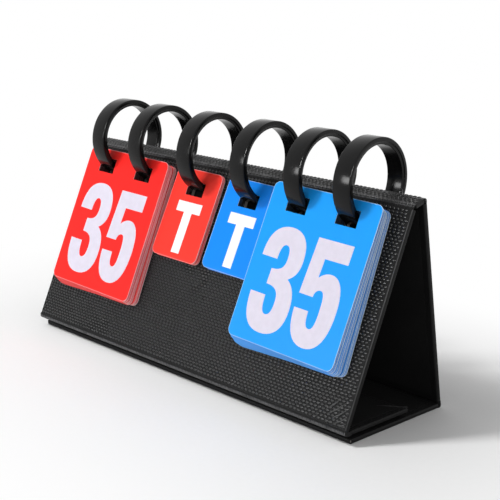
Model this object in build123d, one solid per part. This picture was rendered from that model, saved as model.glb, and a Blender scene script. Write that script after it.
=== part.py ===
# Tabletop flip scoreboard: a folding stand of wrapped boards with six round rings through its ridge,
# and four stacks of cards that hang on the rings and turn over the ridge.
# Millimetres. +Z up, X along the ridge, -Y the side the score is read from.
# Origin: middle of the base's underside. All shapes are drawn in the closed stand's rest pose.
import os
from math import atan2, cos, degrees, radians, sin, sqrt, tan

from build123d import *

# ---- stand -----------------------------------------------------------------------------------
WIDTH = 225.0            # along the ridge
BASE_DEPTH = 67.0        # front edge to back crease
FRONT_FOOT = (-37.5, 7.1)    # y, z of the front panel's outer face at its lower end
RIDGE_FRONT = (0.8, 101.4)   # y, z where the outer faces of front panel and spine meet
RIDGE_BACK = (9.9, 104.3)    # y, z where the outer faces of spine and back panel meet
FRONT_THICK = 2.8
BACK_THICK = 2.6
SPINE_THICK = 2.4
BASE_THICK = 2.2
FLAP_THICK = 2.0
FLAP_UNDER = 4.3         # height of the tuck flap's underside
FLAP_START = -33.2       # y of the flap's hinge end
FLAP_LENGTH = 40.2
SKIN = 0.45              # wrapped cover material
LINING = 0.30            # sheet glued over the turned-in cover edges
TURN_IN = 13.0           # cover turned in over the board's inner face
EDGE_ROUND = 0.8         # rounding of the wrapped edges
CORNER_ROUND = 2.0       # rounding of the base's front corners in plan
HEEL_ROUND = 1.8         # rounding where base and back panel meet, on both
HEEL_HEIGHT = 3.0        # height of the back panel's lower end above the ground
HEEL_SETBACK = 1.2       # from the heel corner to the flat parts of the crease strip
LINING_INSET = 3.5
CREASE_GAP = 0.3         # room between a cover's end and the crease strip of another body

# ---- rings -----------------------------------------------------------------------------------
RING_CENTRE = (3.8, 107.5)   # y, z
RING_OUTER = 21.0        # radius
RING_BAND = 1.9          # radial thickness of the outer band
RING_LIP = 1.5           # radial thickness of the narrower inner lip
RING_WIDTH = 9.8
RING_LIP_WIDTH = 8.8
RING_CHAMFER = 0.45      # along the outer edges
RING_SEAM = 0.30         # closing gap, hidden inside the stand
RING_X = (-86.6, -56.2, -17.9, 20.5, 55.9, 85.6)
SLOT_SIDE_ROOM = 0.8     # between a ring and each side of its slots
FRONT_SLOT_ROOM = (4.2, 0.6)     # below and above the ring where it passes the front panel
BACK_SLOT_ROOM = (0.6, 4.4)      # above and below it in the back panel: long enough to fold

# ---- cards -----------------------------------------------------------------------------------
SHEET = 0.30             # card thickness
HOLE_SIDE_ROOM = 1.3     # between a ring and each side of the hole it passes through
HANG_ROOM = 0.12         # radial room between a card's hole and the ring's inner face
CARD_ROUND = 3.4
# Card: width, height, top edge to hole, hole height, hole centres from the card's middle
LARGE = (65.3, 76.0, 4.85, 8.0, (-15.3, 15.1))
SMALL = (33.5, 47.2, 6.35, 7.3, (0.2,))
# How a card hangs: offset from the ring centre, tilt from the front panel, roll in its own plane
# (left side down is positive), both in degrees, and sideways shift.
# Stacks: card size, centre x, front card, then bunches of cards (count, foremost, rearmost).
STACKS = {
    "red_large": (LARGE, -71.1, (8.25, -1.0, -1.1, 0.4), [
        (8, (7.50, -0.8, -1.4, 0.3), (4.70, -0.6, -0.2, 0.3)),
        (6, (3.60, -0.3, 0.8, 0.3), (1.50, -0.2, 1.2, 0.2)),
    ]),
    "red_small": (SMALL, -18.3, (2.90, 0.8, -1.0, -0.3), [
        (3, (2.35, 0.6, -2.0, 0.0), (1.40, 0.4, -0.4, 0.2)),
    ]),
    "blue_small": (SMALL, 20.1, (2.90, 0.8, -1.3, -0.5), [
        (3, (2.35, 0.6, -2.2, -0.3), (1.40, 0.4, -0.4, 0.0)),
    ]),
    "blue_large": (LARGE, 71.1, (8.95, -0.6, -1.6, -0.2), [
        (8, (7.90, -0.5, -1.7, -0.3), (4.80, -0.4, 0.3, -0.5)),
        (6, (3.70, -0.3, 1.0, -0.7), (1.50, -0.2, 1.5, -0.8)),
    ]),
}
SIDE_SHIFT = (0.0, 0.15, -0.1, 0.12, 0.2, -0.05, 0.1)   # cards don't hang exactly in line

# ---- fastening of the flap -------------------------------------------------------------------
STRIP = (46.0, 14.0, 0.75)   # length, depth, thickness of the hook and loop strips
STRIP_X = 58.0
STRIP_Y = -8.0


def unit(a, b):
    """Unit direction from point a to point b in the Y-Z section."""
    length = sqrt((b[0] - a[0]) ** 2 + (b[1] - a[1]) ** 2)
    return (b[0] - a[0]) / length, (b[1] - a[1]) / length


def span(a, b):
    return sqrt((b[0] - a[0]) ** 2 + (b[1] - a[1]) ** 2)


def face_plane(start, direction):
    """Plane on an outer face: local X along the ridge, local Y along direction, Z outwards."""
    return Plane(origin=(0, start[0], start[1]), x_dir=(1, 0, 0), z_dir=(0, -direction[1], direction[0]))


def block(x_size, y_low, y_high, z_low, z_high):
    """Box centred on X between the given local Y and Z limits."""
    middle = Pos(0, (y_low + y_high) / 2, (z_low + z_high) / 2)
    return middle * Box(x_size, y_high - y_low, z_high - z_low)


def slots(y_low, y_high):
    """Six slot cutters for the rings."""
    cutter = block(RING_WIDTH + 2 * SLOT_SIDE_ROOM, y_low, y_high, -8.0, 4.0)
    return [Pos(x, 0, 0) * cutter for x in RING_X]


def cover(y_low, y_high, thick, free_low, free_high):
    """Cover material wrapped round one board, open in the middle of the inner face."""
    outer = block(WIDTH, y_low, y_high, -thick, 0)
    edges = outer.edges().filter_by(Axis.Y)
    if free_low:
        edges += outer.edges().filter_by(Axis.X).group_by(Axis.Y)[0]
    if free_high:
        edges += outer.edges().filter_by(Axis.X).group_by(Axis.Y)[-1]
    outer = fillet(edges, EDGE_ROUND)
    outer -= board(y_low, y_high, thick)
    if y_high - y_low > 2 * TURN_IN:
        outer -= block(WIDTH - 2 * TURN_IN, y_low + TURN_IN, y_high - TURN_IN, -thick, -thick + SKIN)
    return outer


def board(y_low, y_high, thick):
    return block(WIDTH - 2 * SKIN, y_low + SKIN, y_high - SKIN, -thick + SKIN, -SKIN)


def lining(y_low, y_high, thick):
    inset = LINING_INSET
    return block(WIDTH - 2 * inset, y_low + inset, y_high - inset, -thick - LINING, -thick)


def crease(corner, first, second, setback, run_first, run_second, width=WIDTH - 0.6):
    """Cover material bridging two panels: a strip bent round a corner of the section.
    first and second point from the corner along the two outer faces."""
    dot = first[0] * second[0] + first[1] * second[1]
    half = radians(degrees(atan2(sqrt(1 - dot * dot), dot)) / 2)
    radius = setback * tan(half)
    middle = unit((0, 0), (first[0] + second[0], first[1] + second[1]))
    reach = setback / cos(half)
    centre = (corner[0] + middle[0] * reach, corner[1] + middle[1] * reach)

    def point(direction, along, inward):
        normal = (middle[0] - direction[0] * cos(half), middle[1] - direction[1] * cos(half))
        normal = unit((0, 0), normal)
        return (corner[0] + direction[0] * along + normal[0] * inward,
                corner[1] + direction[1] * along + normal[1] * inward)

    def crown(inward):
        return centre[0] - middle[0] * (radius - inward), centre[1] - middle[1] * (radius - inward)

    with BuildPart() as strip:
        with BuildSketch(Plane.YZ):
            with BuildLine():
                Line(point(first, setback + run_first, 0), point(first, setback, 0))
                ThreePointArc(point(first, setback, 0), crown(0), point(second, setback, 0))
                Line(point(second, setback, 0), point(second, setback + run_second, 0))
                Line(point(second, setback + run_second, 0), point(second, setback + run_second, SKIN))
                Line(point(second, setback + run_second, SKIN), point(second, setback, SKIN))
                ThreePointArc(point(second, setback, SKIN), crown(SKIN), point(first, setback, SKIN))
                Line(point(first, setback, SKIN), point(first, setback + run_first, SKIN))
                Line(point(first, setback + run_first, SKIN), point(first, setback + run_first, 0))
            make_face()
        extrude(amount=width / 2, both=True)
    return strip.part


def front_panel():
    up = unit(FRONT_FOOT, RIDGE_FRONT)
    plane = face_plane(FRONT_FOOT, up)
    low = 0.05
    high = span(FRONT_FOOT, RIDGE_FRONT) - 1.4 - CREASE_GAP
    below, above = FRONT_SLOT_ROOM
    centre = ring_foot(FRONT_FOOT, up)
    cuts = slots(centre - RING_OUTER - below, centre - ring_inner() + above)
    return place_panel("front", plane, low, high, FRONT_THICK, cuts, False, False)


def back_panel():
    down = unit(RIDGE_BACK, back_foot())
    plane = face_plane(RIDGE_BACK, down)
    high = span(RIDGE_BACK, back_foot())
    above, below = BACK_SLOT_ROOM
    start = ring_crossing(RIDGE_BACK, down, ring_inner()) - above
    end = ring_crossing(RIDGE_BACK, down, RING_OUTER) + below
    cuts = slots(start, end) + heel_corners(high, -1)
    return place_panel("back", plane, 2.7, high, BACK_THICK, cuts, False, True)


def heel_corners(end, inward):
    """Cutters that round both corners of a panel's end at local Y end; inward is +1 or -1."""
    inner = end + inward * HEEL_ROUND
    cutter = block(HEEL_ROUND, min(end, inner), max(end, inner), -8.0, 4.0)
    round_off = Cylinder(HEEL_ROUND, 30)
    cutters = []
    for side in (-1, 1):
        corner = Pos(side * (WIDTH - HEEL_ROUND) / 2, 0, 0) * cutter
        centre = Pos(side * (WIDTH / 2 - HEEL_ROUND), inner, 0)
        cutters.append(corner - centre * round_off)
    return cutters


def place_panel(name, plane, low, high, thick, cuts, free_low, free_high):
    solids = {
        name + "_cover": cover(low, high, thick, free_low, free_high),
        name + "_board": board(low, high, thick),
        name + "_lining": lining(low, high, thick),
    }
    for key in solids:
        for cut in cuts:
            solids[key] = solids[key] - cut
    return {key: plane.location * solid for key, solid in solids.items()}


def spine():
    """Narrow board between the tops of the two panels."""
    along = unit(RIDGE_FRONT, RIDGE_BACK)
    plane = face_plane(RIDGE_FRONT, along)
    low = 1.45
    high = span(RIDGE_FRONT, RIDGE_BACK) - 2.65
    return {
        "spine_cover": plane.location * cover(low, high, SPINE_THICK, False, False),
        "spine_board": plane.location * board(low, high, SPINE_THICK),
    }


def base_panel():
    """Base with rounded corners in plan; its outer face is the underside."""
    plane = Plane(origin=(0, 0, 0), x_dir=(1, 0, 0), z_dir=(0, 0, -1))
    low = -(heel()[0] - HEEL_SETBACK - 0.75)
    high = BASE_DEPTH / 2
    solids = place_panel("base", plane, low, high, BASE_THICK, heel_corners(low, 1), False, True)
    blank = Plane.XY * RectangleRounded(WIDTH, BASE_DEPTH + 2 * CORNER_ROUND, CORNER_ROUND)
    blank = extrude(Pos(0, CORNER_ROUND, 0) * blank, 20, both=True)
    solids["base_cover"] = solids["base_cover"] & blank
    inner = RectangleRounded(WIDTH - 2 * SKIN, BASE_DEPTH + 2 * CORNER_ROUND, CORNER_ROUND - SKIN)
    inner = extrude(Pos(0, CORNER_ROUND + SKIN, 0) * inner, 20, both=True)
    solids["base_board"] = solids["base_board"] & inner
    return solids


def flap():
    """Flap folded in from the front panel's lower edge, lying above the base."""
    plane = Plane(origin=(0, 0, FLAP_UNDER), x_dir=(1, 0, 0), z_dir=(0, 0, -1))
    low = -(FLAP_START + FLAP_LENGTH)
    high = -FLAP_START
    return {
        "flap_cover": plane.location * cover(low, high, FLAP_THICK, True, False),
        "flap_board": plane.location * board(low, high, FLAP_THICK),
        "flap_lining": plane.location * lining(low, high, FLAP_THICK),
    }


def creases():
    front_up = unit(FRONT_FOOT, RIDGE_FRONT)
    front_down = (-front_up[0], -front_up[1])
    over = unit(RIDGE_FRONT, RIDGE_BACK)
    back_down = unit(RIDGE_BACK, back_foot())
    foot_along = (FLAP_UNDER - FRONT_FOOT[1]) / front_up[1]
    foot = (FRONT_FOOT[0] + front_up[0] * foot_along, FLAP_UNDER)
    heel_run = span(back_foot(), heel()) - HEEL_SETBACK - 0.1
    flap_run = FLAP_START - CREASE_GAP - foot[0] + foot_along
    return {
        "front_top_crease": crease(RIDGE_FRONT, front_down, over, 1.3, 0.1, 0.1),
        "back_top_crease": crease(RIDGE_BACK, (-over[0], -over[1]), back_down, 1.8, 0.8, 0.85),
        "flap_crease": crease(foot, front_up, (1.0, 0.0), -foot_along - 0.1, 0.1, flap_run),
        "base_crease": crease(heel(), (-1.0, 0.0), (-back_down[0], -back_down[1]), HEEL_SETBACK, 0.4,
                              heel_run, WIDTH - 2 * HEEL_ROUND),
    }


def strips():
    """Loop strips on the base's lining and hook strips under the flap, face to face."""
    loop = Box(*STRIP)
    floor = BASE_THICK + LINING + STRIP[2] / 2
    roof = FLAP_UNDER - STRIP[2] / 2
    loops = [Pos(x, STRIP_Y, floor) * loop for x in (-STRIP_X, STRIP_X)]
    hooks = [Pos(x, STRIP_Y, roof) * loop for x in (-STRIP_X, STRIP_X)]
    return {"loop_strips": Compound(children=loops), "hook_strips": Compound(children=hooks)}


def ring_inner():
    return RING_OUTER - RING_BAND - RING_LIP


def ring_foot(start, direction):
    """Distance along a face from its start to the point opposite the ring centre."""
    return (RING_CENTRE[0] - start[0]) * direction[0] + (RING_CENTRE[1] - start[1]) * direction[1]


def ring_crossing(start, direction, radius):
    """Distance along a face from its start to where a circle round the ring centre leaves it."""
    foot = ring_foot(start, direction)
    aside = span(start, RING_CENTRE) ** 2 - foot ** 2
    return foot + sqrt(radius ** 2 - aside)


def back_foot():
    return BASE_DEPTH / 2, HEEL_HEIGHT


def heel():
    """Where the back panel's outer face, carried on, meets the ground."""
    down = unit(RIDGE_BACK, back_foot())
    return BASE_DEPTH / 2 - down[0] / down[1] * HEEL_HEIGHT, 0.0


def ring(x):
    """Flat moulded ring: a wide outer band with a narrower inner lip, and a closing seam."""
    half_band = RING_WIDTH / 2
    half_lip = RING_LIP_WIDTH / 2
    inner = ring_inner()
    step = inner + RING_LIP
    right = [
        (half_lip, inner),
        (half_lip, step),
        (half_band, step),
        (half_band, RING_OUTER - RING_CHAMFER),
        (half_band - RING_CHAMFER, RING_OUTER),
    ]
    left = [(-across, radius) for across, radius in reversed(right)]
    plane = Plane(origin=(x, RING_CENTRE[0], RING_CENTRE[1]), x_dir=(1, 0, 0), z_dir=(0, -1, 0))
    profile = plane * make_face(Polyline(*right, *left, close=True))
    axis = Axis((0, RING_CENTRE[0], RING_CENTRE[1]), (1, 0, 0))
    body = revolve(profile, axis, 360)
    seam_height = RING_CENTRE[1] - RING_OUTER + (RING_BAND + RING_LIP) / 2
    seam = Pos(x, RING_CENTRE[0], seam_height) * Box(RING_WIDTH + 2, RING_SEAM, 5.0)
    return body - seam


def card(size, centre_x, hang, extra_shift=0.0):
    """One card hanging on its rings. A rolled card rests on one of its rings only."""
    width, height, hole_top, hole_height, holes = size
    offset, tilt, roll, shift = hang
    up = unit(FRONT_FOOT, RIDGE_FRONT)
    lean = radians(degrees(atan2(up[0], up[1])) + tilt)
    outward = (-cos(lean), sin(lean))
    origin = (0, RING_CENTRE[0] + outward[0] * offset, RING_CENTRE[1] + outward[1] * offset)
    plane = Plane(origin=origin, x_dir=(1, 0, 0), z_dir=(0, outward[0], outward[1]))
    rest = -sqrt((ring_inner() - HANG_ROOM) ** 2 - offset ** 2)
    rise = (max(abs(x) for x in holes) + RING_LIP_WIDTH / 2) * sin(radians(abs(roll)))
    hole_width = RING_WIDTH + 2 * HOLE_SIDE_ROOM
    face = Pos(0, hole_top - height / 2) * RectangleRounded(width, height, CARD_ROUND)
    for hole_x in holes:
        face -= Pos(hole_x, -hole_height / 2) * Rectangle(hole_width, hole_height)
    face = Pos(centre_x + shift + extra_shift, rest + rise) * Rot(0, 0, roll) * face
    return plane.location * extrude(face, -SHEET)


def bunch(size, centre_x, count, foremost, rearmost):
    """Cards hung evenly between the foremost and the rearmost of them."""
    cards = []
    for index in range(count):
        part = index / (count - 1)
        hang = [a + (b - a) * part for a, b in zip(foremost, rearmost)]
        cards.append(card(size, centre_x, hang, SIDE_SHIFT[index % len(SIDE_SHIFT)]))
    return cards


def stack(name):
    """The front card, and the cards behind it as separate solids of one node."""
    size, centre_x, front, bunches = STACKS[name]
    behind = []
    for count, foremost, rearmost in bunches:
        behind += bunch(size, centre_x, count, foremost, rearmost)
    return {
        name + "_front_card": card(size, centre_x, front),
        name + "_cards": Compound(children=behind),
    }


def nodes():
    found = {}
    found.update(base_panel())
    found.update(back_panel())
    found.update(spine())
    found.update(front_panel())
    found.update(flap())
    found.update(creases())
    found.update(strips())
    for number, x in enumerate(RING_X, 1):
        found["ring_%d" % number] = ring(x)
    for name in STACKS:
        found.update(stack(name))
    return found


os.makedirs("parts", exist_ok=True)
for name, solid in nodes().items():
    solid.label = name
    export_step(solid, "parts/" + name + ".step")
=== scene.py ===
"""Looks of a tabletop flip scoreboard: embossed leatherette stand, glossy rings, printed cards."""

from math import atan2, cos, pi, radians, sin, sqrt, tan

import bmesh
import bpy
from mathutils import Matrix, Vector
from mathutils.geometry import tessellate_polygon

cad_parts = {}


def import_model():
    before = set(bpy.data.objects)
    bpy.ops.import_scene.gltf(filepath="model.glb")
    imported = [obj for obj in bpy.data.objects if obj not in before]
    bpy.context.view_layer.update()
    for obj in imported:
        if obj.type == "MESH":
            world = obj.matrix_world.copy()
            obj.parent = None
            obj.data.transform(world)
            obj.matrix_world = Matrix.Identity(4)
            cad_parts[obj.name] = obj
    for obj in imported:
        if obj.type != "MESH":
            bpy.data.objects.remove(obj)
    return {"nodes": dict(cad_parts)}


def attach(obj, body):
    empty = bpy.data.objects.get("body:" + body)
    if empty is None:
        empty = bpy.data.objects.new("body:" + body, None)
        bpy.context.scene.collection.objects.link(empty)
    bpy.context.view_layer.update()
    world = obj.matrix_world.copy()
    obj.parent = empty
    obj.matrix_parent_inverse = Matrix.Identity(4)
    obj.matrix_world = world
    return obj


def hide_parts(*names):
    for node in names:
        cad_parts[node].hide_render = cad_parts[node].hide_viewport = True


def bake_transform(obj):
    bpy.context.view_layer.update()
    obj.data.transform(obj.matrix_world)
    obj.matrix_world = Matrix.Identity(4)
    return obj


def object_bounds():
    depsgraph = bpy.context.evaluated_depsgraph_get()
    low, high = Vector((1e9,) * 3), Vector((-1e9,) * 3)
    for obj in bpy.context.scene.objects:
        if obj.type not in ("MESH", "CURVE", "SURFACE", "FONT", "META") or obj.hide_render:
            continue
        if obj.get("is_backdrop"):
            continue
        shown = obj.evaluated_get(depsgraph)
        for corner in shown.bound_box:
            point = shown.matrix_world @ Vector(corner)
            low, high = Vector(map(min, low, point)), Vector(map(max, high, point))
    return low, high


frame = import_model()
cad_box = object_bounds()
nodes = frame["nodes"]
MM = 0.001

# ---- sizes shared with the solid model, in millimetres ------------------------------------------
FRONT_FOOT, RIDGE_FRONT = (-37.5, 7.1), (0.8, 101.4)
RIDGE_BACK, BACK_FOOT = (9.9, 104.3), (33.5, 3.0)
RING_CENTRE = (3.8, 107.5)
RING_INNER = 17.6
HANG_ROOM = 0.12
RING_X = (-86.6, -56.2, -17.9, 20.5, 55.9, 85.6)
HALF_WIDTH = 112.5
CARD_ROUND = 3.4


def direction(a, b):
    """Unit Y-Z direction from a to b, as a 3-D vector."""
    return Vector((0, b[0] - a[0], b[1] - a[1])).normalized()


FRONT_UP = direction(FRONT_FOOT, RIDGE_FRONT)
FRONT_OUT = Vector((0, -FRONT_UP.z, FRONT_UP.y))
SPINE_BACK = direction(RIDGE_FRONT, RIDGE_BACK)
SPINE_OUT = Vector((0, -SPINE_BACK.z, SPINE_BACK.y))
BACK_UP = direction(BACK_FOOT, RIDGE_BACK)
BACK_OUT = Vector((0, BACK_UP.z, -BACK_UP.y))


# ---- shader helpers -----------------------------------------------------------------------------
class Sheet:
    """A node tree being filled: each method adds one node and returns its output socket."""

    def __init__(self, tree):
        self.tree = tree

    def add(self, kind, **settings):
        node = self.tree.nodes.new(kind)
        for key, value in settings.items():
            setattr(node, key, value)
        return node

    def feed(self, socket, value):
        if isinstance(value, bpy.types.NodeSocket):
            self.tree.links.new(value, socket)
        elif value is not None:
            socket.default_value = value

    def math(self, operation, a, b=None, c=None, clamp=False):
        node = self.add("ShaderNodeMath", operation=operation, use_clamp=clamp)
        for socket, value in zip(node.inputs, (a, b, c)):
            self.feed(socket, value)
        return node.outputs[0]

    def dot(self, a, b):
        node = self.add("ShaderNodeVectorMath", operation="DOT_PRODUCT")
        self.feed(node.inputs[0], a)
        self.feed(node.inputs[1], b)
        return node.outputs["Value"]

    def ramp(self, value, low, high, out_low=0.0, out_high=1.0):
        node = self.add("ShaderNodeMapRange", interpolation_type="SMOOTHSTEP")
        for name, given in (("Value", value), ("From Min", low), ("From Max", high),
                            ("To Min", out_low), ("To Max", out_high)):
            self.feed(node.inputs[name], given)
        return node.outputs["Result"]

    def noise(self, vector, scale, detail=2.0, rough=0.5):
        node = self.add("ShaderNodeTexNoise")
        for name, given in (("Vector", vector), ("Scale", scale), ("Detail", detail), ("Roughness", rough)):
            self.feed(node.inputs[name], given)
        return node.outputs["Fac"]

    def cells(self, vector, scale, feature="F1"):
        node = self.add("ShaderNodeTexVoronoi", feature=feature)
        self.feed(node.inputs["Vector"], vector)
        self.feed(node.inputs["Scale"], scale)
        return node.outputs["Distance"]

    def mix(self, factor, a, b):
        node = self.add("ShaderNodeMix", data_type="RGBA")
        self.feed(node.inputs[0], factor)
        self.feed(node.inputs[6], a)
        self.feed(node.inputs[7], b)
        return node.outputs[2]

    def point(self):
        return self.add("ShaderNodeTexCoord").outputs["Object"]

    def normal(self):
        return self.add("ShaderNodeTexCoord").outputs["Normal"]

    def vector(self, x, y, z):
        node = self.add("ShaderNodeCombineXYZ")
        for socket, value in zip(node.inputs, (x, y, z)):
            self.feed(socket, value)
        return node.outputs[0]

    def bump(self, height, distance, strength=1.0, normal=None):
        node = self.add("ShaderNodeBump")
        node.inputs["Strength"].default_value = strength
        node.inputs["Distance"].default_value = distance
        self.feed(node.inputs["Height"], height)
        self.feed(node.inputs["Normal"], normal)
        return node.outputs[0]

    def use(self, group, **values):
        node = self.add("ShaderNodeGroup", node_tree=group)
        for name, value in values.items():
            self.feed(node.inputs[name.replace("_", " ")], value)
        return node.outputs


KINDS = {"value": "NodeSocketFloat", "vector": "NodeSocketVector", "colour": "NodeSocketColor"}


def shader_group(name, takes, gives):
    """A new shader node group, with its input sockets and the output node to feed."""
    tree = bpy.data.node_groups.new(name, "ShaderNodeTree")
    for label, kind, start in takes:
        socket = tree.interface.new_socket(label, in_out="INPUT", socket_type=KINDS[kind])
        if start is not None:
            socket.default_value = start
    for label, kind in gives:
        tree.interface.new_socket(label, in_out="OUTPUT", socket_type=KINDS[kind])
    sheet = Sheet(tree)
    return tree, sheet, sheet.add("NodeGroupInput").outputs, sheet.add("NodeGroupOutput").inputs


def basket_emboss():
    """Rows of small pillows, every other row set off by half a pitch, on a fine hide grain."""
    tree, s, given, out = shader_group(
        "basket emboss",
        [("Across", "value", None), ("Along", "value", None),
         ("Pitch Across", "value", 2.35), ("Pitch Along", "value", 1.5)],
        [("Height", "value"), ("Hollow", "value")])
    rows = s.math("DIVIDE", given["Along"], given["Pitch Along"])
    shift = s.math("MULTIPLY", s.math("FLOORED_MODULO", s.math("FLOOR", rows), 2.0), 0.5)
    columns = s.math("ADD", s.math("DIVIDE", given["Across"], given["Pitch Across"]), shift)

    def pillow(value):
        side = s.math("ABSOLUTE", s.math("SUBTRACT", s.math("MULTIPLY", s.math("FRACT", value), 2.0), 1.0))
        return s.math("SUBTRACT", 1.0, s.math("POWER", side, 2.6))

    height = s.math("MULTIPLY", pillow(columns), pillow(rows))
    s.feed(out["Height"], height)
    s.feed(out["Hollow"], s.ramp(height, 0.0, 0.45, 1.0, 0.0))
    return tree


def hide_grain():
    """Fine pores and creases of pressed leatherette."""
    tree, s, given, out = shader_group(
        "hide grain", [("Vector", "vector", None), ("Scale", "value", 900.0)],
        [("Height", "value"), ("Mottle", "value")])
    fine = s.cells(given["Vector"], given["Scale"])
    soft = s.noise(given["Vector"], s.math("MULTIPLY", given["Scale"], 0.6), 4.0, 0.6)
    s.feed(out["Height"], s.math("MULTIPLY_ADD", soft, 0.6, s.math("MULTIPLY", fine, 0.4)))
    s.feed(out["Mottle"], s.noise(given["Vector"], 22.0, 3.0, 0.55))
    return tree


def handling_marks():
    """Sparse fine scratches and a cloudy polish left by hands."""
    tree, s, given, out = shader_group(
        "handling marks", [("Vector", "vector", None), ("Density", "value", 0.5)],
        [("Scratch", "value"), ("Cloud", "value")])
    mapping = s.add("ShaderNodeMapping")
    s.feed(mapping.inputs["Vector"], given["Vector"])
    mapping.inputs["Scale"].default_value = (1.0, 9.0, 9.0)
    mapping.inputs["Rotation"].default_value = (0.5, 0.35, 0.9)
    lines = s.noise(mapping.outputs[0], 210.0, 2.0, 0.5)
    thin = s.ramp(s.math("ABSOLUTE", s.math("SUBTRACT", lines, 0.5)), 0.0, 0.012, 1.0, 0.0)
    where = s.ramp(s.noise(given["Vector"], 60.0, 2.0, 0.5), 0.52, 0.70)
    s.feed(out["Scratch"], s.math("MULTIPLY", s.math("MULTIPLY", thin, where), given["Density"]))
    s.feed(out["Cloud"], s.noise(given["Vector"], 35.0, 3.0, 0.6))
    return tree


EMBOSS, GRAIN, MARKS = basket_emboss(), hide_grain(), handling_marks()


def surface(name, look):
    """A material with one Principled shader, filled by the given function."""
    material = bpy.data.materials.new(name)
    material.use_nodes = True
    shader = material.node_tree.nodes["Principled BSDF"]
    look(Sheet(material.node_tree), shader)
    return material


def grey(value, alpha=1.0):
    return (value, value, value * 1.03, alpha)


# ---- leatherette --------------------------------------------------------------------------------
def leatherette(name, along, outward, start, weave=0.0, tone=0.006, wear_and_highlight=0.035, sheen=0.42):
    """Black leatherette on one panel. along runs up the panel from start, outward is its outer face.
    The panel's side edges are worn smooth, with a fine pale line where they turn that is partly wear and
    partly a painted highlight."""
    def look(s, shader):
        point = s.point()
        facing = s.dot(s.normal(), tuple(outward))
        across = s.dot(point, (1000, 0, 0))
        offset = Vector((0, start[0], start[1])).dot(along)
        up = s.math("SUBTRACT", s.dot(point, tuple(along * 1000)), offset)
        emboss = s.use(EMBOSS, Across=across, Along=up)
        amount = s.math("MULTIPLY", s.ramp(s.math("ABSOLUTE", facing), 0.7, 0.9), weave)
        grain = s.use(GRAIN, Vector=point)
        height = s.math("MULTIPLY_ADD", emboss["Height"], amount, s.math("MULTIPLY", grain["Height"], 0.22))
        hollow = s.math("MULTIPLY", emboss["Hollow"], amount)
        face = s.mix(grain["Mottle"], grey(tone * 0.75), grey(tone * 1.3))
        # wear and painted highlight: a fine pale line, patchy, where the faces turn at the edges
        turning = s.math("MULTIPLY", s.ramp(facing, 0.35, 0.7), s.ramp(facing, 0.93, 0.99, 1.0, 0.0))
        patchy = s.ramp(s.noise(point, 160.0, 3.0, 0.6), 0.3, 0.6, 0.35, 1.0)
        rubbed_and_highlit = s.mix(s.math("MULTIPLY", turning, patchy), face, grey(wear_and_highlight))
        # painted shade: the base colour is darkened in the hollows of the emboss
        s.feed(shader.inputs["Base Color"], s.mix(hollow, rubbed_and_highlit, grey(tone * 0.3)))
        rough = s.math("MULTIPLY_ADD", grain["Mottle"], 0.14, sheen)
        s.feed(shader.inputs["Roughness"], s.math("MULTIPLY_ADD", hollow, 0.25, rough))
        s.feed(shader.inputs["Normal"], s.bump(height, 0.0003, 0.8))
        shader.inputs["Specular IOR Level"].default_value = 0.11
    return surface(name, look)


def pillow_leatherette(name, tone, sheen):
    """The raised pillows of the emboss: polished by touch on their tops, dull between."""
    def look(s, shader):
        point = s.point()
        grain = s.use(GRAIN, Vector=point, Scale=1300.0)
        marks = s.use(MARKS, Vector=point, Density=0.5)
        face = s.mix(grain["Mottle"], grey(tone * 0.7), grey(tone * 1.4))
        s.feed(shader.inputs["Base Color"], s.mix(marks["Scratch"], face, grey(tone * 3.0)))
        s.feed(shader.inputs["Roughness"], s.math("MULTIPLY_ADD", grain["Mottle"], 0.2, sheen))
        s.feed(shader.inputs["Normal"], s.bump(grain["Height"], 0.00008, 0.7))
        shader.inputs["Specular IOR Level"].default_value = 0.5
    return surface(name, look)


def smooth_lining():
    def look(s, shader):
        point = s.point()
        grain = s.use(GRAIN, Vector=point, Scale=1500.0)
        marks = s.use(MARKS, Vector=point, Density=0.4)
        s.feed(shader.inputs["Base Color"], s.mix(marks["Scratch"], grey(0.005), grey(0.012)))
        s.feed(shader.inputs["Roughness"], s.math("MULTIPLY_ADD", marks["Cloud"], 0.2, 0.5))
        s.feed(shader.inputs["Normal"], s.bump(grain["Height"], 0.00005, 0.5))
        shader.inputs["Specular IOR Level"].default_value = 0.10
    return surface("smooth_lining", look)


def board_core():
    def look(s, shader):
        point = s.point()
        fibres = s.noise(point, 700.0, 4.0, 0.7)
        s.feed(shader.inputs["Base Color"], s.mix(fibres, (0.22, 0.2, 0.17, 1), (0.36, 0.33, 0.29, 1)))
        shader.inputs["Roughness"].default_value = 0.9
        s.feed(shader.inputs["Normal"], s.bump(fibres, 0.0002, 0.6))
    return surface("board_core", look)


def pile(name, scale, tone):
    def look(s, shader):
        point = s.point()
        tufts = s.cells(point, scale)
        fluff = s.noise(point, scale * 2.0, 3.0, 0.7)
        s.feed(shader.inputs["Base Color"], s.mix(fluff, grey(tone * 0.5), grey(tone)))
        shader.inputs["Roughness"].default_value = 0.85
        shader.inputs["Sheen Weight"].default_value = 0.3
        s.feed(shader.inputs["Normal"], s.bump(s.math("ADD", tufts, fluff), 0.0004, 0.8))
    return surface(name, look)


# ---- ring plastic -------------------------------------------------------------------------------
def ring_plastic():
    def look(s, shader):
        point = s.point()
        marks = s.use(MARKS, Vector=point, Density=0.8)
        ripple = s.noise(point, 90.0, 2.0, 0.4)
        s.feed(shader.inputs["Base Color"], s.mix(marks["Scratch"], grey(0.004), grey(0.02)))
        s.feed(shader.inputs["Roughness"], s.math("MULTIPLY_ADD", marks["Cloud"], 0.12, 0.10))
        s.feed(shader.inputs["Normal"], s.bump(ripple, 0.00022, 0.5))
        shader.inputs["Specular IOR Level"].default_value = 0.17
    return surface("ring_plastic", look)


# ---- card plastic -------------------------------------------------------------------------------
HOLE_SHADE = (8.0, 5.6)      # half width and half height of the painted shade round a hole on the cards behind


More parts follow.
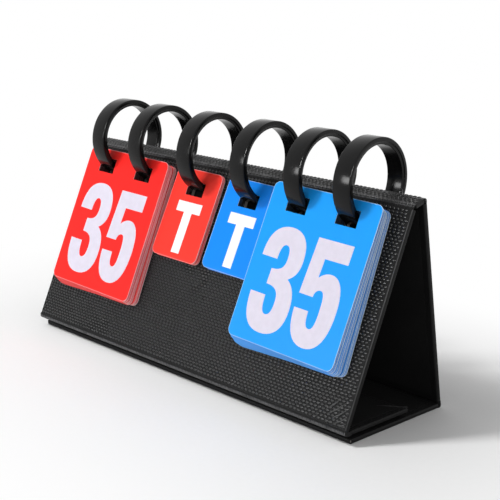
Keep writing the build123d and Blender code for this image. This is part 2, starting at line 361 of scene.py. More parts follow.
def card_plastic(name, place, size, face, edge_light, edge_dark, holes=()):
    """Printed sheet: coloured faces, paler cut edges that differ a little from card to card, the edges facing
    down paled further as painted light. A front card, for which no holes are given, has a fine pale rim where
    it was cut. holes: middles of the holes, in mm from the top left corner, round which shade is painted on
    the cards behind."""
    corner, across, down, outward = place

    def from_middle(s, point, along, x, y):
        """Distance in mm along one direction from a spot given from the top left corner."""
        middle = corner + across * x + down * y
        return s.math("ABSOLUTE", s.math("SUBTRACT", s.dot(point, tuple(along * 1000)), middle.dot(along)))

    def inside_outline(s, point):
        """Distance in mm from a point of the face to the rounded outline, counted inwards."""
        half_width, half_height = size.width / 2, size.height / 2
        over = [s.math("SUBTRACT", from_middle(s, point, along, half_width, half_height), half - CARD_ROUND)
                for along, half in ((across, half_width), (down, half_height))]
        clear = [s.math("POWER", s.math("MAXIMUM", value, 0.0), 2.0) for value in over]
        corner_reach = s.math("SQRT", s.math("ADD", *clear))
        inner = s.math("MINIMUM", s.math("MAXIMUM", *over), 0.0)
        return s.math("SUBTRACT", CARD_ROUND, s.math("ADD", corner_reach, inner))

    def look(s, shader):
        point = s.point()
        facing = s.math("ABSOLUTE", s.dot(s.normal(), tuple(outward)))
        edge = s.ramp(facing, 0.4, 0.9, 1.0, 0.0)
        layer = s.math("MULTIPLY", s.dot(point, tuple(outward * 1000)), 1.0 / EDGE_PITCH)
        tint = s.noise(s.vector(layer, 0.0, 0.0), 1.0, 1.0)
        marks = s.use(MARKS, Vector=point, Density=0.25)
        cut = s.mix(s.ramp(tint, 0.30, 0.52), edge_dark, edge_light)
        # painted light: cut edges that face down are paled towards white, as if lit from below
        below = s.ramp(s.dot(s.normal(), tuple(down)), 0.3, 0.8, 0.0, 0.75)
        cut = s.mix(below, cut, (1.0, 1.0, 1.0, 1))
        printed = s.mix(marks["Scratch"], face, tuple(min(1.0, c * 1.15 + 0.04) for c in face[:3]) + (1,))
        colour = s.mix(edge, printed, cut)
        # painted shade: the cards behind are darkened nearly to black round each hole
        for hole_x, hole_y in holes:
            away = [s.math("DIVIDE", from_middle(s, point, along, hole_x, hole_y), half)
                    for along, half in zip((across, down), HOLE_SHADE)]
            shade = s.ramp(s.math("MAXIMUM", *away), 0.85, 1.1, 0.9, 0.0)
            colour = s.mix(shade, colour, (0.004, 0.004, 0.006, 1))
        if not holes:
            rim = s.ramp(inside_outline(s, point), 0.0, 0.42, 0.5, 0.0)
            colour = s.mix(rim, colour, edge_light)
        s.feed(shader.inputs["Base Color"], colour)
        s.feed(shader.inputs["Roughness"], s.math("MULTIPLY_ADD", marks["Cloud"], 0.15, 0.32))
        s.feed(shader.inputs["Normal"], s.bump(s.noise(point, 500.0, 2.0), 0.00003, 0.5))
        shader.inputs["Specular IOR Level"].default_value = 0.13
    return surface(name, look)


def print_ink(name, colour):
    def look(s, shader):
        point = s.point()
        cover = s.noise(point, 260.0, 3.0, 0.6)
        thin = tuple(c * 0.95 for c in colour[:3]) + (1,)
        s.feed(shader.inputs["Base Color"], s.mix(s.ramp(cover, 0.3, 0.7), thin, colour))
        s.feed(shader.inputs["Roughness"], s.math("MULTIPLY_ADD", cover, 0.2, 0.35))
        s.feed(shader.inputs["Normal"], s.bump(cover, 0.00002, 0.5))
        shader.inputs["Specular IOR Level"].default_value = 0.3
    return surface(name, look)


def dress(name, material):
    """Gives a solid-model node its finished material."""
    mesh = nodes[name].data
    mesh.materials.clear()
    mesh.materials.append(material)


FRONT_LEATHER = leatherette("front_leatherette", FRONT_UP, FRONT_OUT, FRONT_FOOT)
BACK_LEATHER = leatherette("back_leatherette", BACK_UP, BACK_OUT, BACK_FOOT)
FLAT_LEATHER = leatherette("base_leatherette", Vector((0, 1, 0)), Vector((0, 0, -1)), (0, 0), weave=0.8)
SPINE_LEATHER = leatherette("spine_leatherette", SPINE_BACK, SPINE_OUT, RIDGE_FRONT, weave=1.0, tone=0.022)
# the creases' pale turning line is set high: partly wear, partly a painted highlight
CREASE_LEATHER = leatherette("crease_leatherette", FRONT_UP, FRONT_OUT, FRONT_FOOT, weave=0.9, tone=0.010,
                             wear_and_highlight=0.11, sheen=0.36)
# painted highlight: the lifted lip's pale tone stands in for the glint along its edge
LIFTED_HIGHLIGHT_LEATHER = leatherette("lifted_highlight_leatherette", FRONT_UP, FRONT_OUT, FRONT_FOOT, tone=0.09, sheen=0.30)
PILLOWS = pillow_leatherette("pillow_leatherette", 0.007, 0.20)
LINING, CORE = smooth_lining(), board_core()
LOOPS, HOOKS = pile("loop_pile", 1500.0, 0.04), pile("hook_pile", 900.0, 0.03)
RING = ring_plastic()

for node, material in (
        ("front_cover", FRONT_LEATHER), ("back_cover", BACK_LEATHER), ("spine_cover", SPINE_LEATHER),
        ("base_cover", FLAT_LEATHER), ("flap_cover", FLAT_LEATHER),
        ("back_top_crease", CREASE_LEATHER), ("front_lining", LINING), ("back_lining", LINING),
        ("base_lining", LINING), ("flap_lining", LINING), ("front_board", CORE), ("back_board", CORE),
        ("base_board", CORE), ("flap_board", CORE), ("spine_board", CORE),
        ("loop_strips", LOOPS), ("hook_strips", HOOKS)):
    dress(node, material)


# ---- mesh helpers -------------------------------------------------------------------------------
def new_piece(name, mesh, material, body, slot, smooth=False):
    """Puts a finished mesh in the scene as a piece that rides on a body."""
    mesh.materials.clear()
    mesh.materials.append(material)
    mesh.polygons.foreach_set("use_smooth", [smooth] * len(mesh.polygons))
    piece = bpy.data.objects.new(name, mesh)
    bpy.context.scene.collection.objects.link(piece)
    if body:
        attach(piece, body)
    return piece


def face_outwards(mesh):
    work = bmesh.new()
    work.from_mesh(mesh)
    bmesh.ops.recalc_face_normals(work, faces=work.faces)
    work.to_mesh(mesh)
    work.free()


# ---- creases ------------------------------------------------------------------------------------
SKIN, PROUD = 0.45, 0.04      # thickness of the cover material, how far a crease lies over the panels


def bent_strip(node, corner, first, second, setback, run_first, run_second, half_width, thick=SKIN):
    """Cover material bent round a corner between two panels. It overlaps both.
    first and second point from the corner along the two outer faces."""
    half = first.angle(second) / 2
    middle = (first + second).normalized()
    into = [(middle - way * cos(half)).normalized() for way in (first, second)]
    centre = corner + middle * setback / cos(half)
    path = [(corner + first * (setback + run_first), into[0]), (corner + first * setback, into[0])]
    for step in range(1, 12):
        inward = into[0].slerp(into[1], step / 12)
        path.append((centre - inward * setback * tan(half), inward))
    path += [(corner + second * setback, into[1]), (corner + second * (setback + run_second), into[1])]
    vertices, faces = [], []
    for point, inward in path:
        for depth in (-PROUD, thick):
            at = (point + inward * depth) * MM
            vertices += [(-half_width * MM, at.y, at.z), (half_width * MM, at.y, at.z)]
    for step in range(len(path) - 1):
        a, b = step * 4, step * 4 + 4
        for i, j in ((0, 1), (1, 3), (3, 2), (2, 0)):
            faces.append((a + i, a + j, b + j, b + i))
    last = len(path) * 4 - 4
    faces += [(0, 2, 3, 1), (last, last + 1, last + 3, last + 2)]
    mesh = bpy.data.meshes.new(node + "_folded")
    mesh.from_pydata(vertices, [], faces)
    face_outwards(mesh)
    dress(node, CREASE_LEATHER)
    piece = new_piece(node + "_folded", mesh, CREASE_LEATHER, None, "leatherette")
    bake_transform(piece)
    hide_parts(node)


def in_section(y, z):
    return Vector((0, y, z))


FLAP_UNDER, FLAP_START = 4.3, -33.2
FOOT_DROP = (FRONT_FOOT[1] - FLAP_UNDER) / FRONT_UP.z
FOLD_CORNER = in_section(FRONT_FOOT[0] - FRONT_UP.y * FOOT_DROP, FLAP_UNDER)
HEEL_CORNER = in_section(BACK_FOOT[0] - BACK_UP.y * BACK_FOOT[1] / BACK_UP.z, 0.0)
HEEL_SETBACK, RIDGE_SETBACK = 1.2, 1.3
bent_strip("flap_crease", FOLD_CORNER, FRONT_UP, in_section(1, 0), FOOT_DROP - 0.1, 0.6,
           FLAP_START - FOLD_CORNER.y - FOOT_DROP + 0.5, HALF_WIDTH - 0.15, thick=1.9)
bent_strip("base_crease", HEEL_CORNER, in_section(-1, 0), BACK_UP, HEEL_SETBACK, 1.3,
           BACK_FOOT[1] / BACK_UP.z - HEEL_SETBACK + 0.4, HALF_WIDTH - 0.3)
bent_strip("front_top_crease", in_section(*RIDGE_FRONT), -FRONT_UP, SPINE_BACK,
           RIDGE_SETBACK, 0.5, 0.5, HALF_WIDTH - 0.15)


# ---- wrinkles and the lifted lining -------------------------------------------------------------
def tapered_ridges(name, lines, at, half_width, height, material, body):
    """Low ridges with a rounded back that run out at both ends. lines: start and end in a flat
    region, which at(x, y, lift) puts in place."""
    section = [(-1.0, -0.15), (-0.6, 0.7), (0.0, 1.0), (0.6, 0.7), (1.0, -0.15)]
    vertices, faces = [], []
    for (x0, y0), (x1, y1) in lines:
        length = sqrt((x1 - x0) ** 2 + (y1 - y0) ** 2)
        side = ((y1 - y0) / length, (x0 - x1) / length)
        first, steps = len(vertices), 10
        for step in range(steps + 1):
            t = step / steps
            swell = 0.15 + 0.85 * sin(pi * t) ** 0.6
            bow = 0.5 * sin(pi * t)
            for across, lift in section:
                reach = across * half_width * swell + bow
                vertices.append(at(x0 + (x1 - x0) * t + side[0] * reach, y0 + (y1 - y0) * t + side[1] * reach,
                                   lift * height * swell))
        for step in range(steps):
            for index in range(5):
                a, b = first + step * 5 + index, first + step * 5 + (index + 1) % 5
                faces.append((a, b, b + 5, a + 5))
        faces += [tuple(range(first, first + 5)), tuple(range(first + steps * 5, first + steps * 5 + 5))]
    mesh = bpy.data.meshes.new(name)
    mesh.from_pydata(vertices, [], faces)
    face_outwards(mesh)
    return new_piece(name, mesh, material, body, "leatherette", smooth=True)


def on_front(x, along, lift):
    """Point on the front panel, x from its right edge, along from its foot."""
    place = in_section(*FRONT_FOOT) + FRONT_UP * along + FRONT_OUT * lift
    return (place + Vector((HALF_WIDTH + x, 0, 0))) * MM


MITRE_WRINKLES = (((-13.6, 6.4), (-7.4, 12.6)), ((-12.0, 4.6), (-3.4, 12.2)), ((-9.5, 3.2), (-1.8, 9.8)),
                  ((-7.0, 1.9), (-1.4, 6.2)), ((-4.2, 1.2), (-1.2, 3.4)))
tapered_ridges("front_corner_wrinkles", MITRE_WRINKLES, on_front, 0.55, 0.42, PILLOWS, "front")

FLAP_TOP, FLAP_END = 6.6, 7.0


def lifted_edge():
    """Edge of the flap's turned-in corner that has come up a little, as a thin wavy lip, coloured pale as a
    painted highlight.
    """
    heights = (0.75, 0.62, 0.30, 0.16, 0.22, 0.34, 0.38, 0.28, 0.16, 0.10, 0.04)
    vertices, faces = [], []
    for index, height in enumerate(heights):
        t = index / (len(heights) - 1)
        x, y = HALF_WIDTH - 0.3 - 11.3 * t, FLAP_END - 0.4 - 7.8 * t + 0.5 * sin(6.0 * t)
        for aside, z in ((-0.12, FLAP_TOP - 0.35), (0.12, FLAP_TOP - 0.35), (0.30, FLAP_TOP + height),
                         (0.06, FLAP_TOP + height)):
            vertices.append(((x + aside * 0.57) * MM, (y - aside * 0.82) * MM, z * MM))
    last = len(vertices) - 4
    for a in range(0, last, 4):
        faces += [(a + i, a + (i + 1) % 4, a + 4 + (i + 1) % 4, a + 4 + i) for i in range(4)]
    faces += [(0, 1, 2, 3), (last, last + 1, last + 2, last + 3)]
    mesh = bpy.data.meshes.new("flap_lifted_edge")
    mesh.from_pydata(vertices, [], faces)
    face_outwards(mesh)
    new_piece("flap_lifted_edge", mesh, LIFTED_HIGHLIGHT_LEATHER, "flap", "leatherette")


lifted_edge()


# ---- rings --------------------------------------------------------------------------------------
RING_OUTER, RING_STEP = 21.0, 19.1
BAND_HALF, LIP_HALF = 4.9, 4.4
SEAM_HALF = 0.0075           # half the closing gap, in radians
RIM_ROUND, STEP_ROUND, LIP_ROUND = 0.50, 0.22, 0.42
RING_STEPS = 150             # divisions round a ring


def rounded(corner, before, after, radius, steps=4):
    """Points of an arc that rounds a square corner of a section."""
    corner = Vector(corner)
    to_before, to_after = (Vector(before) - corner).normalized(), (Vector(after) - corner).normalized()
    centre = corner + (to_before + to_after) * radius
    points = []
    for step in range(steps + 1):
        turn = step / steps * pi / 2
        points.append(centre - to_after * radius * cos(turn) - to_before * radius * sin(turn))
    return points


def ring_section():
    """Section of a ring (across, radius): outer band with rounded rims, narrower inner lip."""
    corners = [((-LIP_HALF, RING_INNER), LIP_ROUND), ((-LIP_HALF, RING_STEP), 0.0),
               ((-BAND_HALF, RING_STEP), STEP_ROUND), ((-BAND_HALF, RING_OUTER), RIM_ROUND),
               ((BAND_HALF, RING_OUTER), RIM_ROUND), ((BAND_HALF, RING_STEP), STEP_ROUND),
               ((LIP_HALF, RING_STEP), 0.0), ((LIP_HALF, RING_INNER), LIP_ROUND)]
    points = []
    for index, (corner, radius) in enumerate(corners):
        if radius == 0.0:
            points.append(Vector(corner))
            continue
        following = corners[(index + 1) % len(corners)][0]
        points += rounded(corner, corners[index - 1][0], following, radius)
    return points


def ring_mesh(name, x):
    section, steps = ring_section(), RING_STEPS
    count = len(section)
    vertices, faces = [], []
    for step in range(steps + 1):
        angle = SEAM_HALF + (2 * pi - 2 * SEAM_HALF) * step / steps
        for across, radius in section:
            vertices.append(((x + across) * MM, (RING_CENTRE[0] + radius * sin(angle)) * MM,
                             (RING_CENTRE[1] - radius * cos(angle)) * MM))
    for step in range(steps):
        for index in range(count):
            a, b = step * count + index, step * count + (index + 1) % count
            faces.append((a, b, b + count, a + count))
    faces.append(tuple(range(count)))
    faces.append(tuple(steps * count + index for index in range(count)))
    mesh = bpy.data.meshes.new(name)
    mesh.from_pydata(vertices, [], faces)
    face_outwards(mesh)
    return mesh


for number, ring_x in enumerate(RING_X, 1):
    node = f"ring_{number}"
    dress(node, RING)
    moulded = ring_mesh(node + "_moulded", ring_x)
    piece = new_piece(node + "_moulded", moulded, RING, node, "ring", smooth=True)
    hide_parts(node)


# ---- embossed pillows ---------------------------------------------------------------------------
PITCH_ACROSS, PITCH_ALONG, PILLOW_HEIGHT = 2.35, 1.5, 0.20
FIELD_HALF, SLOT_HALF = 111.2, 6.25      # half widths of the embossed part and of a slot, with room
PILLOW_SINK = 0.02                       # how far the pillows' feet lie in the panel


def pillow_tree():
    """Staggered rows of low pillows over the flat region that the tree is given."""
    tree = bpy.data.node_groups.new("pillow field", "GeometryNodeTree")
    face = tree.interface
    face.new_socket("Region", in_out="INPUT", socket_type="NodeSocketGeometry")
    sizes = (("Width", 0.222), ("Length", 0.1), ("Pitch Across", PITCH_ACROSS * MM),
             ("Pitch Along", PITCH_ALONG * MM), ("Pillow Width", 2.16 * MM), ("Pillow Length", 1.40 * MM),
             ("Pillow Height", PILLOW_HEIGHT * MM))
    for label, start in sizes:
        face.new_socket(label, in_out="INPUT", socket_type="NodeSocketFloat").default_value = start
    face.new_socket("Seed", in_out="INPUT", socket_type="NodeSocketInt").default_value = 4
    face.new_socket("Material", in_out="INPUT", socket_type="NodeSocketMaterial")
    face.new_socket("Pillows", in_out="OUTPUT", socket_type="NodeSocketGeometry")
    s = Sheet(tree)
    given, out = s.add("NodeGroupInput").outputs, s.add("NodeGroupOutput").inputs

    grid = s.add("GeometryNodeMeshGrid")
    columns = s.math("ADD", s.math("FLOOR", s.math("DIVIDE", given["Width"], given["Pitch Across"])), 1.0)
    rows = s.math("ADD", s.math("FLOOR", s.math("DIVIDE", given["Length"], given["Pitch Along"])), 1.0)
    for count, pitch, axis in ((columns, "Pitch Across", "X"), (rows, "Pitch Along", "Y")):
        run = s.math("MULTIPLY", s.math("SUBTRACT", count, 1.0), given[pitch])
        s.feed(grid.inputs["Size " + axis], run)
        s.feed(grid.inputs["Vertices " + axis], count)

    place = s.add("GeometryNodeInputPosition").outputs[0]
    split = s.add("ShaderNodeSeparateXYZ")
    s.feed(split.inputs[0], place)
    row = s.math("ROUND", s.math("DIVIDE", split.outputs[1], given["Pitch Along"]))
    odd = s.math("FLOORED_MODULO", row, 2.0)
    half = s.math("MULTIPLY", odd, s.math("MULTIPLY", given["Pitch Across"], 0.5))
    stagger = s.add("GeometryNodeSetPosition")
    s.feed(stagger.inputs["Geometry"], grid.outputs[0])
    s.feed(stagger.inputs["Offset"], s.vector(half, 0.0, 0.0))

    cast = s.add("GeometryNodeRaycast")
    s.feed(cast.inputs["Target Geometry"], given["Region"])
    lifted = s.add("ShaderNodeVectorMath", operation="ADD")
    s.feed(lifted.inputs[0], place)
    lifted.inputs[1].default_value = (0, 0, 0.01)
    s.feed(cast.inputs["Source Position"], lifted.outputs[0])
    cast.inputs["Ray Direction"].default_value = (0, 0, -1)
    miss = s.add("FunctionNodeBooleanMath", operation="NOT")
    s.feed(miss.inputs[0], cast.outputs["Is Hit"])
    trim = s.add("GeometryNodeDeleteGeometry", domain="POINT")
    s.feed(trim.inputs["Geometry"], stagger.outputs[0])
    s.feed(trim.inputs["Selection"], miss.outputs[0])

    pillow = s.add("GeometryNodeMeshCone", fill_type="NGON")
    for name, value in (("Vertices", 8), ("Radius Top", 0.27), ("Radius Bottom", 0.52), ("Depth", 1.0)):
        s.feed(pillow.inputs[name], value)
    vary = s.add("FunctionNodeRandomValue", data_type="FLOAT")
    s.feed(vary.inputs[2], 0.82)
    s.feed(vary.inputs[3], 1.12)
    s.feed(vary.inputs["Seed"], given["Seed"])
    tall = s.math("MULTIPLY", given["Pillow Height"], vary.outputs[1])
    spread = s.add("GeometryNodeInstanceOnPoints")
    s.feed(spread.inputs["Points"], trim.outputs[0])
    s.feed(spread.inputs["Instance"], pillow.outputs[0])
    s.feed(spread.inputs["Scale"], s.vector(given["Pillow Width"], given["Pillow Length"], tall))
    real = s.add("GeometryNodeRealizeInstances")
    s.feed(real.inputs[0], spread.outputs[0])
    paint = s.add("GeometryNodeSetMaterial")
    s.feed(paint.inputs["Geometry"], real.outputs[0])
    s.feed(paint.inputs["Material"], given["Material"])
    s.feed(out[0], paint.outputs[0])
    return tree


def region_mesh(name, field, middle):
    """Flat region of a panel in its own plane, less the ring slots. Local Y is measured from middle."""
    low, high, slot_low, slot_high = field
    walls = [-FIELD_HALF]
    for x in RING_X:
        walls += [x - SLOT_HALF, x + SLOT_HALF]
    walls.append(FIELD_HALF)
    strips = [(-FIELD_HALF, FIELD_HALF, low, slot_low), (-FIELD_HALF, FIELD_HALF, slot_high, high)]
    strips += [(walls[i], walls[i + 1], slot_low, slot_high) for i in range(0, len(walls), 2)]
    vertices, faces = [], []
    for x0, x1, y0, y1 in strips:
        base = len(vertices)
        vertices += [(x * MM, (y - middle) * MM, 0) for x, y in ((x0, y0), (x1, y0), (x1, y1), (x0, y1))]
        faces.append((base, base + 1, base + 2, base + 3))
    mesh = bpy.data.meshes.new(name)
    mesh.from_pydata(vertices, [], faces)
    return mesh


def pillow_field(name, body, start, along, outward, field, seed):
    """Pillows over one panel face, as a plain mesh in place. field: where the pillows start and end
    and where the row of slots starts and ends, in mm along the panel, just clear of the slots."""
    low, high = field[:2]
    middle = (low + high) / 2
    helper = bpy.data.objects.new(name + "_region", region_mesh(name, field, middle))
    bpy.context.scene.collection.objects.link(helper)
    scatter = helper.modifiers.new("pillows", "NODES")
    scatter.node_group = PILLOW_TREE
    wanted = {"Length": (high - low) * MM, "Seed": seed, "Material": PILLOWS}
    for item in PILLOW_TREE.interface.items_tree:
        if item.in_out == "INPUT" and item.name in wanted:
            scatter[item.identifier] = wanted[item.name]
    depsgraph = bpy.context.evaluated_depsgraph_get()
    mesh = bpy.data.meshes.new_from_object(helper.evaluated_get(depsgraph))
    bpy.data.objects.remove(helper)
    side = Vector((1, 0, 0)) if along.cross(outward).x > 0 else Vector((-1, 0, 0))
    origin = Vector((0, start[0], start[1])) * MM + along * middle * MM
    turn = Matrix((side, along, outward)).transposed().to_4x4()
    mesh.transform(Matrix.Translation(origin - outward * PILLOW_SINK * MM) @ turn)
    mesh.name = name
    return new_piece(name, mesh, PILLOWS, body, "leatherette", smooth=True)


PILLOW_TREE = pillow_tree()
RING_ALONG = (RING_CENTRE[0] - FRONT_FOOT[0]) * FRONT_UP.y + (RING_CENTRE[1] - FRONT_FOOT[1]) * FRONT_UP.z
BACK_LENGTH = sqrt((RIDGE_BACK[0] - BACK_FOOT[0]) ** 2 + (RIDGE_BACK[1] - BACK_FOOT[1]) ** 2)
FRONT_FIELD = (1.3, 99.5, RING_ALONG - RING_OUTER - 5.1, RING_ALONG - RING_INNER + 1.5)
BACK_FIELD = (4.5, BACK_LENGTH - 3.4, BACK_LENGTH - 21.1, BACK_LENGTH - 10.8)
SPINE_FIELD = (0.5, 8.1, 8.1, 8.1)       # no slots
pillow_field("front_pillows", "front", FRONT_FOOT, FRONT_UP, FRONT_OUT, FRONT_FIELD, 4)
pillow_field("back_pillows", "back", BACK_FOOT, BACK_UP, BACK_OUT, BACK_FIELD, 7)
pillow_field("spine_pillows", "back", RIDGE_FRONT, SPINE_BACK, SPINE_OUT, SPINE_FIELD, 11)


# ---- cards and their print ----------------------------------------------------------------------
# Outlines in millimetres from a card's top left corner, X to the right and Y down. A pair is a
# straight run to that point, six numbers are a curve: two handles and the end.
THREE = [(6.1, 34.9), (15.8, 35.1), (15.8, 31.5, 16.4, 27.8, 18.9, 27.8),
         (21.4, 27.8, 22.0, 30.6, 22.0, 33.6), (22.0, 37.8, 20.2, 39.9, 14.3, 39.9),
         (14.1, 47.3), (20.6, 47.4, 22.4, 49.8, 22.4, 54.6),
         (22.4, 58.6, 21.4, 61.1, 18.8, 61.1), (16.2, 61.1, 15.6, 57.4, 15.6, 52.5), (6.1, 52.4),
         (6.1, 63.8, 9.6, 70.0, 18.9, 70.0), (27.6, 70.0, 32.1, 64.8, 32.1, 56.2),
         (32.1, 48.8, 29.6, 44.9, 25.6, 42.8), (29.6, 40.7, 31.3, 37.6, 31.3, 32.8),
         (31.3, 24.4, 27.4, 19.2, 19.2, 19.2), (10.8, 19.2, 6.1, 24.4, 6.1, 34.9)]
FIVE = [(35.9, 20.2), (56.6, 20.2), (56.4, 29.0), (42.9, 29.0), (42.5, 37.9),
        (44.4, 35.9, 46.8, 34.9, 49.2, 34.9), (55.0, 34.9, 58.1, 40.6, 58.1, 50.4),
        (58.1, 62.6, 53.9, 69.8, 45.9, 69.8), (38.4, 69.8, 34.6, 64.4, 34.3, 53.4), (42.8, 53.4),
        (42.8, 58.4, 43.6, 60.9, 45.9, 60.9), (48.3, 60.9, 48.8, 57.4, 48.8, 51.8),
        (48.8, 46.2, 48.3, 43.1, 46.1, 43.1), (44.2, 43.1, 42.9, 44.3, 42.7, 46.8), (34.5, 46.7)]
FOUR = [(46.6, 20.2), (55.6, 20.2), (55.6, 50.6), (59.6, 50.6), (59.6, 58.4), (55.6, 58.4), (55.6, 69.6),
        (46.8, 69.6), (46.8, 58.4), (34.0, 58.4), (34.0, 50.0)]
FOUR_GAP = [(46.8, 50.6), (46.8, 33.5), (40.6, 50.6)]
LETTER_T = [(8.0, 17.2), (25.7, 17.2), (25.7, 22.7), (20.0, 22.7), (20.0, 44.2), (14.1, 44.2), (14.1, 22.7),
            (8.0, 22.7)]


def traced(outline, steps=10):
    """The outline's points, its curves divided evenly."""
    points = [outline[0][-2:]]
    for run in outline[1:]:
        if len(run) == 2:
            points.append(run)
            continue
        a, b, c, d = points[-1], run[0:2], run[2:4], run[4:6]
        for step in range(1, steps + 1):
            t = step / steps
            u = 1 - t
            points.append(tuple(u * u * u * p + 3 * u * u * t * q + 3 * u * t * t * r + t * t * t * w
                                for p, q, r, w in zip(a, b, c, d)))
    if points[0] == points[-1]:
        points.pop()
    return points


def card_place(size, centre, hang):
    """A card's top left corner and its directions across, down and outward. A rolled card rests on
    one of its rings only."""
    offset, tilt, roll, shift = hang
    lean = atan2(FRONT_UP.y, FRONT_UP.z) + radians(tilt)
    outward, rise = Vector((0, -cos(lean), sin(lean))), Vector((0, sin(lean), cos(lean)))
    turn = radians(roll)
    across = Vector((cos(turn), 0, 0)) + rise * sin(turn)
    down = Vector((sin(turn), 0, 0)) - rise * cos(turn)
    hole_reach = max(abs(x) for x in size.hole_x)
    rest = (hole_reach + LIP_HALF) * abs(sin(turn)) - sqrt((RING_INNER - HANG_ROOM) ** 2 - offset ** 2)
    hung = Vector((centre + shift, RING_CENTRE[0], RING_CENTRE[1])) + outward * offset + rise * rest
    return hung - across * size.width / 2 - down * size.hole_top, across, down, outward


PRINT_UNDER, PRINT_OVER = 0.02, 0.025      # how far a print lies in the sheet and stands proud of it


def printed(name, place, figures, ink, body, slot):
    """Thin raised print of closed outlines on a card's face. figures: lists of outlines, outer one first."""
    corner, across, down, outward = place
    vertices, faces = [], []

    def at(point, height):
        return (corner + across * point[0] + down * point[1] + outward * height) * MM

    for outlines in figures:
        loops = [traced(outline) for outline in outlines]
        flat = [point for loop in loops for point in loop]
        base, count = len(vertices), len(flat)
        vertices += [at(point, PRINT_OVER) for point in flat] + [at(point, -PRINT_UNDER) for point in flat]
        for a, b, c in tessellate_polygon([[Vector((x, y, 0)) for x, y in loop] for loop in loops]):
            faces.append((base + a, base + b, base + c))
            faces.append((base + count + a, base + count + c, base + count + b))
        first = base
        for loop in loops:
            for index in range(len(loop)):
                here, there = first + index, first + (index + 1) % len(loop)
                faces.append((here, there, there + count, here + count))
            first += len(loop)
    mesh = bpy.data.meshes.new(name)
    mesh.from_pydata(vertices, [], faces)
    face_outwards(mesh)
    return new_piece(name, mesh, ink, body, slot)


LARGE_INK = print_ink("large_print", (0.70, 0.66, 0.77, 1))
SMALL_INK = print_ink("small_print", (0.93, 0.93, 0.95, 1))
RED, RED_SMALL = (0.93, 0.018, 0.014, 1), (0.93, 0.040, 0.026, 1)
BLUE, BLUE_SMALL = (0.006, 0.33, 0.93, 1), (0.002, 0.25, 0.92, 1)
PALE_RED, DEEP_RED = (1.0, 0.66, 0.68, 1), (0.80, 0.24, 0.30, 1)
PALE_BLUE, DEEP_BLUE = (0.80, 0.94, 1.0, 1), (0.42, 0.58, 0.95, 1)
SCORE, NEXT_SCORE, TIME_OUT = [[THREE], [FIVE]], [[THREE], [FOUR, FOUR_GAP]], [[LETTER_T]]


class CardSize:
    """Sizes of one kind of card in mm. hole_top: upper end of its holes, hole_x: their middles from
    the card's middle."""

    def __init__(self, width, height, hole_top, hole_height, hole_x):
        self.width, self.height = width, height
        self.hole_top, self.hole_height, self.hole_x = hole_top, hole_height, hole_x


LARGE = CardSize(65.3, 76.0, 4.85, 8.0, (-15.3, 15.1))
SMALL = CardSize(33.5, 47.2, 6.35, 7.3, (0.2,))
EDGE_PITCH = 0.42            # distance through a stack over which the tint of the cut edges changes
BEHIND_LIGHTEN = 0.08                  # painted light: how much paler the cards behind are made, to offset the shade they lie in

# Stack: size, centre, front card and next card (offset, tilt, roll, shift), how far the print lies
# below its usual place, print, colours.
for stack, size, centre, front, following, lower, figures, face, pale, deep in (
        ("red_large", LARGE, -71.1, (8.25, -1.0, -1.1, 0.4), (7.50, -0.8, -1.4, 0.3), -0.2,
         SCORE, RED, PALE_RED, DEEP_RED),
        ("red_small", SMALL, -18.3, (2.90, 0.8, -1.0, -0.3), (2.35, 0.6, -2.0, 0.0), 0.0,
         TIME_OUT, RED_SMALL, PALE_RED, DEEP_RED),
        ("blue_small", SMALL, 20.1, (2.90, 0.8, -1.3, -0.5), (2.35, 0.6, -2.2, -0.3), 0.0,
         TIME_OUT, BLUE_SMALL, PALE_BLUE, DEEP_BLUE),
        ("blue_large", LARGE, 71.1, (8.95, -0.6, -1.6, -0.2), (7.90, -0.5, -1.7, -0.3), 0.4,
         SCORE, BLUE, PALE_BLUE, DEEP_BLUE)):
    ink = LARGE_INK if size is LARGE else SMALL_INK
    under = NEXT_SCORE if size is LARGE else TIME_OUT
    front_place, next_place = card_place(size, centre, front), card_place(size, centre, following)
    for place, shapes, layer, body in ((front_place, figures, "_front_print", "_front"),
                                       (next_place, under, "_next_print", "_stack")):
        corner, across, down, outward = place
        on_card = (corner + down * lower, across, down, outward)
        printed(stack + layer, on_card, shapes, ink, stack + body, stack + "_card")
    holes = [(size.width / 2 + x, size.hole_top + size.hole_height / 2) for x in size.hole_x]
    lightened_face = tuple(c + (1 - c) * BEHIND_LIGHTEN for c in face[:3]) + (1,)
    front_sheet = card_plastic(stack + "_front_sheet", front_place, size, face, pale, deep)
    sheet = card_plastic(stack + "_sheet", next_place, size, lightened_face, pale, deep, holes)
    dress(stack + "_front_card", front_sheet)
    dress(stack + "_cards", sheet)


# ---- floor, light and camera --------------------------------------------------------------------
def seen_directly(s):
    """1 for rays from the camera and in clear reflections, which see the studio as plain white."""
    path = s.add("ShaderNodeLightPath")
    seen = s.math("MAXIMUM", path.outputs["Is Camera Ray"], path.outputs["Is Glossy Ray"])
    return s.math("MAXIMUM", seen, path.outputs["Is Transmission Ray"])


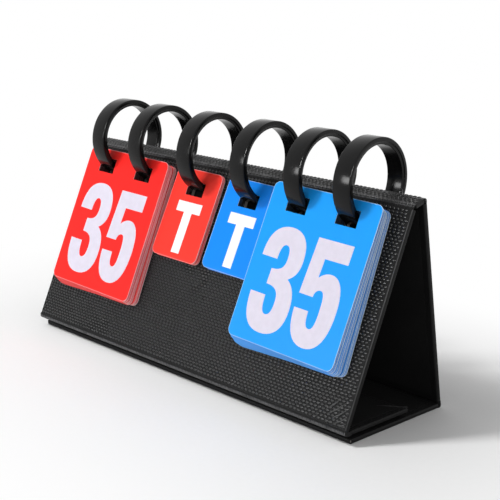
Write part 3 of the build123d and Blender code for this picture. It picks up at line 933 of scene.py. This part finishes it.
def stage():
    """White paper floor: it takes the object's shadow close by and runs out to plain white."""
    reach = 3.0
    mesh = bpy.data.meshes.new("floor")
    mesh.from_pydata([(-reach, -reach, 0), (reach, -reach, 0), (reach, reach, 0), (-reach, reach, 0)], [],
                     [(0, 1, 2, 3)])
    floor = bpy.data.objects.new("floor", mesh)
    bpy.context.scene.collection.objects.link(floor)

    material = bpy.data.materials.new("floor_paper")
    material.use_nodes = True
    s = Sheet(material.node_tree)
    paper = material.node_tree.nodes["Principled BSDF"]
    grain = s.noise(s.point(), 400.0, 2.0)
    s.feed(paper.inputs["Base Color"], s.mix(grain, (0.92, 0.92, 0.92, 1), (0.95, 0.95, 0.95, 1)))
    paper.inputs["Roughness"].default_value = 0.9
    paper.inputs["Specular IOR Level"].default_value = 0.1
    white = s.add("ShaderNodeEmission")
    white.inputs["Strength"].default_value = 1.0
    place = s.add("ShaderNodeSeparateXYZ")
    s.feed(place.inputs[0], s.point())
    beyond = [s.math("MAXIMUM", s.math("SUBTRACT", s.math("ABSOLUTE", place.outputs[axis]), half * MM), 0.0)
              for axis, half in ((0, HALF_WIDTH), (1, 36.0))]
    away = s.math("SQRT", s.math("ADD", s.math("POWER", beyond[0], 2.0), s.math("POWER", beyond[1], 2.0)))
    far = s.math("MULTIPLY", s.ramp(away, 0.004, 0.17), seen_directly(s))
    blend = s.add("ShaderNodeMixShader")
    s.feed(blend.inputs[0], far)
    s.feed(blend.inputs[1], paper.outputs[0])
    s.feed(blend.inputs[2], white.outputs[0])
    s.feed(material.node_tree.nodes["Material Output"].inputs[0], blend.outputs[0])
    mesh.materials.append(material)
    floor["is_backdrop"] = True


def world():
    """Even white room light, seen as plain white."""
    scene = bpy.context.scene
    scene.world = bpy.data.worlds.new("studio")
    scene.world.use_nodes = True
    scene.world.node_tree.nodes.clear()
    s = Sheet(scene.world.node_tree)
    lit, white = s.add("ShaderNodeBackground"), s.add("ShaderNodeBackground")
    for background, strength in ((lit, 0.43), (white, 1.0)):
        background.inputs["Color"].default_value = (1, 1, 1, 1)
        background.inputs["Strength"].default_value = strength
    mix = s.add("ShaderNodeMixShader")
    s.feed(mix.inputs[0], seen_directly(s))
    s.feed(mix.inputs[1], lit.outputs[0])
    s.feed(mix.inputs[2], white.outputs[0])
    s.feed(s.add("ShaderNodeOutputWorld").inputs[0], mix.outputs[0])


def soft_lamp(name, place, aim, size, power, lights=True, mirrored=True):
    """Area lamp, which may be left out of either the plain light or the reflections."""
    data = bpy.data.lights.new(name, "AREA")
    data.shape = "RECTANGLE"
    data.size, data.size_y = size
    data.energy = power
    lamp = bpy.data.objects.new(name, data)
    bpy.context.scene.collection.objects.link(lamp)
    lamp.location = place
    lamp.rotation_euler = (Vector(aim) - Vector(place)).to_track_quat("-Z", "Y").to_euler()
    lamp.visible_diffuse, lamp.visible_glossy = lights, mirrored


def camera():
    data = bpy.data.cameras.new("camera")
    data.sensor_width = 36.0
    data.lens = 78.795
    data.clip_start = 0.01
    eye = bpy.data.objects.new("camera", data)
    bpy.context.scene.collection.objects.link(eye)
    turn = Matrix(((0.7102, -0.1881, 0.6784), (0.7031, 0.1429, -0.6965), (0.0341, 0.9717, 0.2338)))
    eye.matrix_world = Matrix.Translation((0.386816, -0.381722, 0.191121)) @ turn.to_4x4()
    bpy.context.scene.camera = eye


stage()
world()
camera()
soft_lamp("key", (-0.50, -0.66, 0.98), (0, 0, 0.06), (0.20, 0.20), 10.2, mirrored=False)
soft_lamp("low_left", (-0.60, -1.00, 0.27), (0.05, 0, 0.04), (0.36, 0.30), 1.2, mirrored=False)
soft_lamp("rims", (0.62, -0.56, 0.42), (0.06, 0, 0.05), (0.10, 0.26), 13.0, lights=False)
soft_lamp("sheen", (-0.46, -0.98, 0.22), (0.10, -0.03, 0.03), (0.28, 0.24), 3.6, lights=False)
bpy.context.scene.view_settings.view_transform = "Standard"

[[list(corner) for corner in box] for box in (cad_box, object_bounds())]
